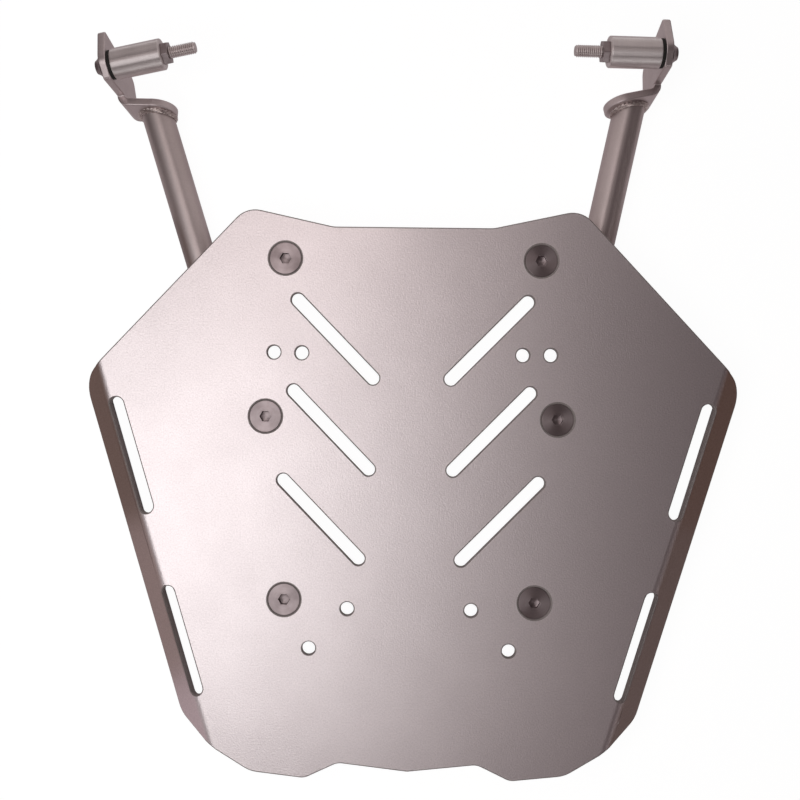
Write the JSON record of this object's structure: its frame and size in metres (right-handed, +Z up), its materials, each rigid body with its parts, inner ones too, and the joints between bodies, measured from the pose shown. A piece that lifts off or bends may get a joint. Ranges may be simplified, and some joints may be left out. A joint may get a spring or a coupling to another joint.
{
  "type": "motorcycle luggage rack",
  "caption": "Rear luggage rack for a motorcycle: a slotted metal deck with folded side flanges on two splayed tube arms, each ending in a folded bracket with a bolt and spacer.",
  "frame": {"origin": "on the deck's top face, on its long axis, near the middle of the deck", "axes": "+Z up out of the deck, +Y forward along the arms, +X to the rider's right"},
  "size_m": [0.3304, 0.38, 0.0454],
  "materials": {
    "deck_sheet": "bead-blasted, satin",
    "screw_steel": "plain stainless",
    "nut_steel": "plain stainless",
    "arm_steel": "satin",
    "bracket_steel": "satin, blasted",
    "weld_steel": "welded, bright",
    "spacer_steel": "turned, satin",
    "bolt_steel": "plain stainless",
    "washer_rubber": "matt black",
    "plug_plastic": "moulded black"
  },
  "bodies": {
    "root": {"deck_plate": "deck_sheet", "deck_screws": "screw_steel", "tab_nuts": "nut_steel", "left_arm_tube": "arm_steel", "left_front_tab": "arm_steel", "left_middle_tab": "arm_steel", "left_rear_tab": "arm_steel", "left_tab_welds": "weld_steel", "left_tube_plug": "plug_plastic", "left_end_bracket": "bracket_steel", "left_bracket_weld": "weld_steel", "left_bolt": "bolt_steel", "left_washer": "washer_rubber", "left_spacer": "spacer_steel", "left_nut": "bolt_steel", "right_arm_tube": "arm_steel", "right_front_tab": "arm_steel", "right_middle_tab": "arm_steel", "right_rear_tab": "arm_steel", "right_tab_welds": "weld_steel", "right_tube_plug": "plug_plastic", "right_end_bracket": "bracket_steel", "right_bracket_weld": "weld_steel", "right_bolt": "bolt_steel", "right_washer": "washer_rubber", "right_spacer": "spacer_steel", "right_nut": "bolt_steel"}
  },
  "joints": []
}
